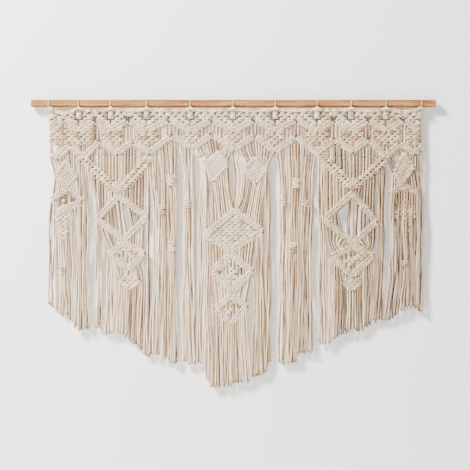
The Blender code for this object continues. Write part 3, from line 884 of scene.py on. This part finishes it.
def knot_band(line, size=0.9):
    """A sloping band of square knots, two to a row, that follows a line in mm down to its lower end."""
    line = spots(line)
    high, low = (line[0], line[-1]) if line[0][1] > line[-1][1] else (line[-1], line[0])
    runs = []
    # Cords painted near-black brown run along inside the band, as painted shade between its knots, and clean
    # ones behind them.
    for out, tone in ((1.4, 2.3), (5.2, 0.4)):
        for across in (-10, -3.5, 3.5, 10):
            inside = [(x + across * MM, out * MM, z) for x, z in line]
            runs.append((inside, CORD, tone))
    rise = KNOT_ROW * size
    for row in range(int((high[1] - low[1]) / rise) + 1):
        z = high[1] - rise * row
        x = float(np.interp(-z, *zip(*sorted((-spot[1], spot[0]) for spot in line))))
        turned = 1 if row % 2 else -1
        for side in (-1, 1):
            runs += square_knot(x + side * KNOT_STEP * size, z, turned, size, -1.2 * MM, runs_on=True)
    return runs


def diamond_rows(outline, rows=2):
    """Half-hitch rows along the four sides of a diamond: top, right, bottom and left corners, in mm."""
    top, right, bottom, left = spots(outline)
    runs = []
    for start, end in ((top, left), (top, right), (right, bottom), (left, bottom)):
        runs += hitched_row(start, end, rows)
    return runs


WEAVE_PITCH = 5.8 * MM


def woven_diamond(outline):
    """A diamond where the strands from both sides are woven over and under, with hitched borders."""
    top, right, bottom, left = (Vector((x, 0, z)) for x, z in spots(outline))
    up_cords = round((left - bottom).length / WEAVE_PITCH)
    down_cords = round((left - top).length / WEAVE_PITCH)
    runs = []

    def place(u, v, out):
        spot = left.lerp(top, u).lerp(bottom.lerp(right, u), v)
        return spot + Vector((0, -out * MM, 0))

    for j in range(up_cords):
        v = (j + 0.5) / up_cords
        line = [place(i / (2 * down_cords), v, 2.4 + 0.9 * sin(pi * (i / 2 + 0.5 + j)))
                for i in range(2 * down_cords + 1)]
        runs.append((line, CORD * 0.9, shade() * 0.5))
    # The cords that lie behind are painted deep, as painted shade between the front cords.
    for i in range(down_cords):
        u = (i + 0.5) / down_cords
        line = [place(u, j / (2 * up_cords), -0.2 - 1.4 * sin(pi * (j / 2 + 0.5 + i)))
                for j in range(2 * up_cords + 1)]
        runs.append((line, CORD * 0.8, 1.2 + 0.5 * shade()))
    return runs + diamond_rows(outline, rows=1)


# Left edge panel.
# A woven diamond hangs from the last peak, two hitched rows spread under it like a roof, and a pointed
# column of square knots runs down the middle of the fringe.
edge_strands = [
    *curtain(20, 0.5, 1.6, [(-504, 143), (-487, 154), (-447, 117), (-426, 140)],
        [(-491, 206), (-486, 198), (-461, 159), (-431, 200), (-426, 208)]),
    *curtain(20, 0.4, 1.6, [(-492, 198), (-457, 232), (-427, 204)],
        [(-499, 261), (-451, 231), (-419, 268)]),
]
knotted_piece("left_edge_woven", woven_diamond([(-461, 157), (-431, 201), (-457, 230), (-487, 199)]),
              "left_edge", "woven_diamond")
runs = []
for start, end in (((-451, 232), (-500, 263)), ((-450, 232), (-418, 270)), ((-419, 272), (-484, 299))):
    runs += hitched_row(*spots((start, end)))
runs += knot_net([(-466, 244), (-432, 312), (-466, 400), (-500, 312)], margin=8, size=0.76)
runs += knot_cluster(-474, 458, 14, 12)
knotted_piece("left_edge_knots", runs, "left_edge", "knot_column")
edge_strands += [
    *curtain(17, 0.5, 1.6, [(-499, 262), (-451, 233), (-420, 268)],
        [(-500, 270), (-484, 300), (-420, 276)], back=2.0),
    *fringe(15, 1.6, 2.2, [(-503, 266), (-483, 304), (-450, 290)], (-509, -442, 330), (-508, -442, 455),
        [(-510, 545), (-488, 561), (-460, 580), (-441, 598)], groups=2, gather=2.5),
    *fringe(6, 1.4, 2.2, [(-449, 288), (-420, 276)], (-434, -423, 330), [(-437, 606), (-422, 617)]),
]
fringe_piece("left_edge_fringe_cotton", edge_strands, "left_edge", "fringe", 3)

# Left motif panel.
# A wide V of two bands of square knots gathers the strands towards the middle, with two knotted diamonds
# and a small knotted tip under it. The strands hang slack inside the upper diamond.
def motif_knots(side, v_left, v_right, v_fill, v_strands, upper, lower, tip, tip_row):
    """The knots of a motif panel: the V with the strands inside it, the two diamonds and the tip."""
    panel = f"{side}_motif"
    knots = knot_band(v_left) + knot_net(v_fill, margin=8, size=0.8)
    knotted_piece(f"{side}_v_band_left", knots, panel, "v_band_left")
    knotted_piece(f"{side}_v_band_right", knot_band(v_right), panel, "v_band_right")
    count, above, below = v_strands
    strands = split_at_swing(curtain(count, 0.6, 1.6, above, below))
    loose_piece(f"{side}_v_strands", strands, panel, "v_strands")
    knotted_piece(f"{side}_upper_diamond", diamond_rows(upper), panel, "diamond_1")
    knots = diamond_rows(lower) + knot_net(lower, margin=9, sparse=0.5)
    knotted_piece(f"{side}_lower_diamond", knots, panel, "diamond_2")
    knots = knot_net(tip, margin=1) + hitched_zigzag(spots(tip_row), 1)
    knotted_piece(f"{side}_tip", knots, panel, "knotted_tip")


motif_knots(
    "left",
    v_left=[(-411, 153), (-373, 187), (-350, 208), (-334, 224), (-313, 243)],
    v_right=[(-313, 243), (-290, 214), (-258, 180), (-232, 150)],
    v_fill=[(-314, 204), (-286, 228), (-312, 262), (-346, 228)],
    v_strands=(42, [(-410, 154), (-364, 107), (-318, 141), (-276, 110), (-233, 141)],
               [(-408, 158), (-350, 200), (-313, 232), (-290, 204), (-235, 150)]),
    upper=[(-315, 254), (-238, 313), (-300, 375), (-375, 319)],
    lower=[(-302, 383), (-245, 413), (-286, 454), (-343, 417)],
    tip=[(-284, 470), (-253, 482), (-283, 512), (-316, 482)],
    tip_row=[(-314, 488), (-283, 510), (-255, 488)],
)
motif_left = [
    *fringe(7, 1.2, 2.2, [(-424, 151), (-405, 170)], (-422, -399, 290), (-423, -401, 420),
        [(-421, 617), (-396, 611)]),
    *fringe(7, 1.0, 2.2, [(-403, 172), (-373, 198)], [(-381, 300), (-366, 324)], (-380, -361, 420),
        [(-383, 606), (-361, 612)]),
    *curtain(13, 0.8, 1.6, [(-370, 199), (-318, 246)], [(-370, 312), (-318, 257)]),
    *curtain(12, 1.6, 3.0, [(-366, 318), (-314, 264)], [(-370, 326), (-302, 366)], back=1.5),
    *curtain(14, 0.8, 1.6, [(-366, 332), (-304, 382)], [(-340, 412), (-304, 388)]),
    *fringe(9, 1.6, 2.2, [(-345, 420), (-322, 440)], (-349, -322, 484), [(-352, 631), (-324, 621)],
        groups=1, gather=2),
    *curtain(8, 0.6, 1.6, [(-322, 440), (-286, 462)], [(-314, 484), (-284, 506)]),
    *fringe(9, 1.4, 2.2, [(-315, 490), (-284, 514)], [(-320, 621), (-290, 637)]),
    *curtain(14, 0.8, 2.0, [(-335, 415), (-302, 391), (-253, 411)],
        [(-335, 419), (-286, 446), (-253, 415)], back=1.0),
]
fringe_piece("left_motif_fringe_west", motif_left, "left_motif", "fringe_left", 3)
motif_right = [
    *curtain(17, 0.8, 1.6, [(-311, 249), (-241, 162)], [(-311, 259), (-243, 306)]),
    *fringe(2, 1.4, 2.2, [(-238, 158), (-230, 150)], (-238, -231, 300), [(-240, 684), (-231, 686)]),
    *curtain(12, 1.6, 3.0, [(-312, 264), (-250, 312)], [(-299, 366), (-243, 324)], back=1.5),
    *curtain(14, 0.8, 1.6, [(-301, 382), (-245, 328)], [(-301, 389), (-249, 407)]),
    *curtain(6, 0.6, 1.6, [(-284, 461), (-262, 440)], [(-282, 506), (-256, 484)]),
    *fringe(9, 1.4, 2.2, [(-282, 513), (-254, 490)], [(-288, 638), (-263, 661)]),
    *fringe(9, 1.4, 2.2, [(-264, 438), (-244, 419)], (-252, -238, 484), [(-260, 664), (-238, 686)]),
]
fringe_piece("left_motif_fringe_east", motif_right, "left_motif", "fringe_right", 3)

# Left loose panel.
# Strands that were left to hang, in two bundles, with a few small bunches of square knots on them.
west = [
    *fringe(12, 1.6, 2.6, [(-232, 143), (-190, 111)], (-226, -184, 240), (-220, -184, 292),
        (-219, -184, 400), [(-234, 684), (-208, 684), (-180, 698)], groups=2, gather=1.5),
    *fringe(9, 1.4, 2.6, [(-188, 110), (-169, 95), (-152, 105)], (-180, -157, 204), (-179, -156, 300),
        (-178, -160, 388), [(-182, 701), (-150, 706)]),
    *knot_cluster(-169, 214, 27, 33), *knot_cluster(-196, 292, 20, 20), *knot_cluster(-169, 392, 20, 20),
]
east = [
    *fringe(8, 1.6, 2.4, [(-149, 106), (-120, 118)], (-136, -119, 210), (-135, -120, 268),
        (-135, -120, 290), (-139, -118, 400), [(-142, 706), (-101, 711)]),
    *knot_cluster(-127, 278, 16, 25),
]
fringe_piece("left_loose_west", west, "left_loose", "bundle_left", 3)
fringe_piece("left_loose_east", east, "left_loose", "bundle_right", 1)

# Centre panel.
# The longest panel: two woven diamonds side by side, then three knotted diamonds one under the other, the
# first filled with alternating square knots and the others partly open, and the longest fringe.
CENTRE_WOVEN = (("left", [(-39, 132), (-15, 168), (-56, 214), (-79, 168)]),
                ("right", [(59, 148), (91, 180), (62, 221), (33, 182)]))
for side, outline in CENTRE_WOVEN:
    knotted_piece(f"centre_woven_{side}", woven_diamond(outline), "centre", f"woven_diamond_{side}")
# Each diamond has its share of knots left out.
CENTRE_DIAMONDS = ((0, [(6, 294), (80, 352), (-8, 404), (-77, 362)]),
                   (0.5, [(-7, 414), (51, 461), (-1, 516), (-60, 461)]),
                   (0.45, [(-4, 527), (36, 559), (-7, 606), (-49, 563)]))
for number, (sparse, outline) in enumerate(CENTRE_DIAMONDS, 1):
    net = knot_net(outline, margin=10, sparse=sparse)
    name = f"centre_knotted_diamond_{number}"
    knotted_piece(name, diamond_rows(outline) + net, "centre", f"diamond_{number}")
between = [
    *curtain(24, 0.6, 1.6, [(-104, 128), (-59, 90), (-4, 130)], [(-79, 166), (-39, 134), (-16, 166)]),
    *curtain(22, 0.6, 1.6, [(6, 132), (59, 94), (101, 127)], [(32, 180), (59, 150), (92, 178)]),
    *curtain(5, 1.0, 1.6, (-5, 9, 134), (0, 26, 200), (-4, 16, 296), back=2.0),
    *curtain(24, 1.2, 2.0, [(-80, 170), (-56, 217), (-14, 170)], (-76, -10, 240), [(-77, 359), (4, 294)]),
    *curtain(22, 1.2, 2.0, [(31, 184), (62, 224), (93, 182)], (24, 86, 250), [(8, 294), (79, 348)]),
    *curtain(28, 0.8, 2.0, [(-60, 376), (-8, 411), (58, 368)], [(-56, 456), (-7, 418), (50, 456)]),
    *curtain(22, 0.8, 2.0, [(-56, 467), (-1, 523), (48, 467)], [(-47, 560), (-4, 530), (35, 554)]),
    *curtain(20, 0.8, 2.0, [(-50, 459), (-7, 422), (43, 459)], [(-50, 463), (-1, 508), (43, 463)],
        back=1.0),
    *curtain(15, 0.8, 2.0, [(-40, 561), (-4, 535), (28, 558)], [(-40, 565), (-7, 597), (28, 563)],
        back=1.0),
]
loose_piece("centre_between_strands", split_at_swing(between), "centre", "strands")
centre_west = [
    *fringe(7, 1.2, 2.2, [(-113, 127), (-104, 124)], [(-86, 172), (-79, 176)], (-95, -80, 300),
        (-96, -77, 450), [(-101, 711), (-84, 706), (-77, 735)]),
    *fringe(2, 1.2, 2.2, [(-116, 128), (-110, 126)], (-114, -104, 300), [(-112, 710), (-102, 712)],
        back=2.0),
    *fringe(9, 1.4, 2.4, [(-78, 367), (-58, 380)], (-76, -62, 450), [(-76, 740), (-64, 771), (-50, 772)]),
    *fringe(14, 1.4, 2.4, [(-48, 570), (-8, 613)], [(-50, 772), (-18, 770), (-6, 767)]),
]
fringe_piece("centre_fringe_west", centre_west, "centre", "fringe_left", 4)
centre_east = [
    *fringe(6, 1.2, 2.2, [(105, 129), (114, 134)], (87, 95, 182), (86, 99, 300), (86, 101, 450),
        [(84, 733), (101, 702)]),
    *fringe(12, 1.6, 2.4, [(56, 369), (80, 357)], (55, 82, 450), (55, 83, 560), [(50, 747), (84, 733)],
        groups=1, gather=2),
    *fringe(15, 1.4, 2.4, [(-7, 612), (35, 564)], [(-6, 767), (32, 758), (50, 748)]),
]
fringe_piece("centre_fringe_east", centre_east, "centre", "fringe_right", 4)

# Right loose panel.
# Three narrow bundles, each with its own small bunch of square knots, and wall showing between them.
west = [
    *fringe(7, 1.4, 2.4, [(116, 135), (146, 112)], (124, 149, 190), (126, 149, 270), (127, 149, 400),
        [(122, 702), (147, 711)]),
    *knot_cluster(139, 271, 15, 14),
]
east = [
    *fringe(9, 1.4, 2.6, [(148, 111), (175, 97), (188, 105)], (153, 186, 206), (152, 184, 300),
        (153, 180, 390), [(150, 708), (172, 700)]),
    *fringe(10, 1.8, 2.6, [(190, 107), (229, 140)], (188, 218, 220), (187, 217, 274), (184, 215, 400),
        [(176, 692), (188, 677), (208, 683), (217, 668)], groups=1, gather=1.5),
    *knot_cluster(173, 219, 20, 24), *knot_cluster(199, 274, 18, 14), *knot_cluster(166, 395, 20, 20),
]
fringe_piece("right_loose_west", west, "right_loose", "bundle_left", 1)
fringe_piece("right_loose_east", east, "right_loose", "bundle_right", 3)

# Right motif panel.
# The twin of the left one, knotted by eye: its diamonds are wider, and the upper one has an open middle.
motif_knots(
    "right",
    v_left=[(232, 133), (280, 181), (329, 229)],
    v_right=[(329, 229), (374, 192), (417, 151)],
    v_fill=[(329, 200), (356, 226), (329, 258), (302, 226)],
    v_strands=(39, [(236, 141), (277, 104), (327, 137), (374, 102), (414, 152)],
               [(240, 142), (329, 219), (412, 154)]),
    upper=[(329, 246), (392, 326), (331, 384), (249, 320)],
    lower=[(329, 394), (384, 419), (327, 472), (268, 422)],
    tip=[(326, 474), (354, 486), (326, 516), (298, 486)],
    tip_row=[(299, 491), (326, 514), (353, 491)],
)
motif_left = [
    *fringe(7, 1.4, 2.2, [(233, 150), (251, 168)], [(232, 290), (248, 306)], (234, 256, 420),
        [(232, 645), (255, 658)]),
    *curtain(15, 0.8, 1.6, [(254, 170), (323, 240)], [(254, 312), (325, 252)]),
    *curtain(7, 2.0, 3.0, [(256, 318), (290, 286)], [(257, 322), (296, 354)], back=1.5),
    *curtain(3, 2.0, 3.0, [(314, 266), (329, 254)], [(312, 368), (328, 378)], back=1.5),
    *curtain(13, 1.2, 2.4, [(250, 326), (324, 388)], [(258, 372), (306, 396)], [(272, 422), (327, 399)]),
    *fringe(10, 1.8, 2.4, [(262, 424), (296, 452)], (262, 298, 484), [(256, 658), (276, 645), (297, 623)],
        groups=1, gather=2),
    *curtain(7, 0.6, 1.6, [(298, 452), (327, 478)], [(299, 486), (325, 508)]),
    *fringe(8, 1.4, 2.2, [(299, 494), (325, 518)], [(299, 623), (324, 619)]),
    *curtain(16, 0.8, 2.0, [(276, 421), (329, 402), (376, 417)], [(276, 425), (327, 463), (376, 421)],
        back=1.0),
]
fringe_piece("right_motif_fringe_west", motif_left, "right_motif", "fringe_left", 3)
motif_right = [
    *curtain(14, 0.8, 1.6, [(335, 240), (392, 190)], [(333, 252), (388, 320)]),
    *curtain(10, 1.8, 3.0, [(335, 258), (386, 320)], [(331, 378), (388, 330)], back=1.5),
    *fringe(8, 1.4, 2.2, [(394, 188), (418, 164)], (397, 414, 300), (396, 413, 450),
        [(384, 592), (409, 588)]),
    *curtain(12, 1.2, 2.4, [(336, 388), (392, 332)], [(352, 396), (388, 380)], [(331, 399), (380, 418)]),
    *curtain(7, 0.6, 1.6, [(328, 478), (354, 452)], [(327, 508), (352, 486)]),
    *fringe(8, 1.4, 2.2, [(327, 518), (353, 494)], [(326, 619), (354, 615)]),
    *fringe(9, 1.8, 2.4, [(356, 448), (388, 422)], (356, 388, 484), [(355, 615), (383, 592)]),
]
fringe_piece("right_motif_fringe_east", motif_right, "right_motif", "fringe_right", 3)

# Right edge panel.
# The last woven diamond, its roof of two hitched rows, and a pointed column of square knots.
knotted_piece("right_edge_woven", woven_diamond([(469, 136), (496, 177), (463, 224), (443, 188)]),
              "right_edge", "woven_diamond")
runs = []
for start, end in (((464, 227), (432, 250)), ((464, 227), (508, 244))):
    runs += hitched_row(*spots((start, end)))
runs += knot_net([(473, 232), (508, 304), (473, 396), (438, 304)], margin=8, size=0.76)
runs += knot_cluster(472, 441, 14, 12)
knotted_piece("right_edge_knots", runs, "right_edge", "knot_column")
edge_strands = [
    *curtain(23, 0.6, 1.6, [(421, 151), (458, 114), (500, 141), (520, 127)],
        [(436, 192), (443, 187), (469, 139), (496, 176), (516, 200)]),
    *curtain(20, 0.5, 1.6, [(436, 190), (463, 228), (500, 180)], [(433, 247), (464, 229), (508, 241)]),
    *curtain(16, 0.8, 1.6, [(436, 246), (464, 230), (506, 240)], (440, 504, 280), back=2.0),
    *fringe(3, 2.0, 2.4, [(504, 196), (516, 198)], (509, 518, 240), (510, 521, 330),
        [(506, 560), (518, 566)]),
    *fringe(21, 2.0, 2.4, [(432, 256), (464, 236), (508, 250)], (428, 508, 300), (428, 508, 450),
        [(411, 588), (436, 584), (466, 562), (480, 554), (508, 562)], groups=3, gather=2),
]
fringe_piece("right_edge_fringe_cotton", edge_strands, "right_edge", "fringe", 3)

# Header strands.
# The short upper lengths of all those strands, from under the lower zigzag row to the line where the
# panels begin to swing.
header_piece("strands_under_zigzag", header_runs, strand_cotton, "header_strands")

# Wall, floor and light.
# A plain pale wall close behind the dowel and a floor well below. A key light from the upper left leaves
# a soft shadow to the right of every strand, over a weak fill, and one more light shows the back.
WALL_GAP = 14 * MM


def plain_surface(name, code):
    material, tree, shader = new_material(name)
    feed(tree, shader, {"Base Color": linear(code), "Roughness": 0.95, "Specular IOR Level": 0.1})
    return material, tree, shader


def one_sided_wall():
    """Matt paint that is only there from the front, so that the back of the hanging can be seen."""
    material, tree, shader = plain_surface("Matt wall paint", "#FAFAFA")
    clear = node(tree, "BsdfTransparent")
    behind = node(tree, "NewGeometry").outputs["Backfacing"]
    both = node(tree, "MixShader", _0=behind, _1=shader.outputs[0], _2=clear.outputs[0])
    tree.links.new(both.outputs[0], tree.nodes["Material Output"].inputs["Surface"])
    return material


bpy.ops.object.select_all(action="DESELECT")
bpy.ops.mesh.primitive_plane_add(size=12, location=(0, WALL_GAP, 0), rotation=(pi / 2, 0, 0))
wall = bpy.context.active_object
wall.name = "plain_wall"
wall.data.materials.append(one_sided_wall())
wall.visible_shadow = False
bpy.ops.object.select_all(action="DESELECT")
bpy.ops.mesh.primitive_plane_add(size=12, location=(0, 0, -1.4))
floor = bpy.context.active_object
floor.name = "plain_floor"
floor.data.materials.append(plain_surface("Matt floor paint", "#E4E4E2")[0])


def soft_light(name, size, power, place, target, colour):
    data = bpy.data.lights.new(name, "AREA")
    data.size = size
    data.energy = power
    data.color = colour
    light = bpy.data.objects.new(name, data)
    bpy.context.scene.collection.objects.link(light)
    light.location = place
    light.rotation_euler = (Vector(target) - Vector(place)).to_track_quat("-Z", "Y").to_euler()


soft_light("Window light", 0.8, 860, (-2.7, -2.0, 2.6), (-0.1, 0, -0.1), (1.0, 0.985, 0.965))
soft_light("Fill light", 3.0, 8, (1.6, -3.2, 0.4), (0, 0, -0.35), (0.95, 0.975, 1.0))
soft_light("Back light", 2.4, 240, (-1.2, 2.6, 0.6), (0, 0, -0.35), (1.0, 0.99, 0.97))
world = bpy.data.worlds.new("Soft studio air")
bpy.context.scene.world = world
world.use_nodes = True
feed(world.node_tree, world.node_tree.nodes["Background"], {"Color": linear("#EEF1F4"), "Strength": 0.27})
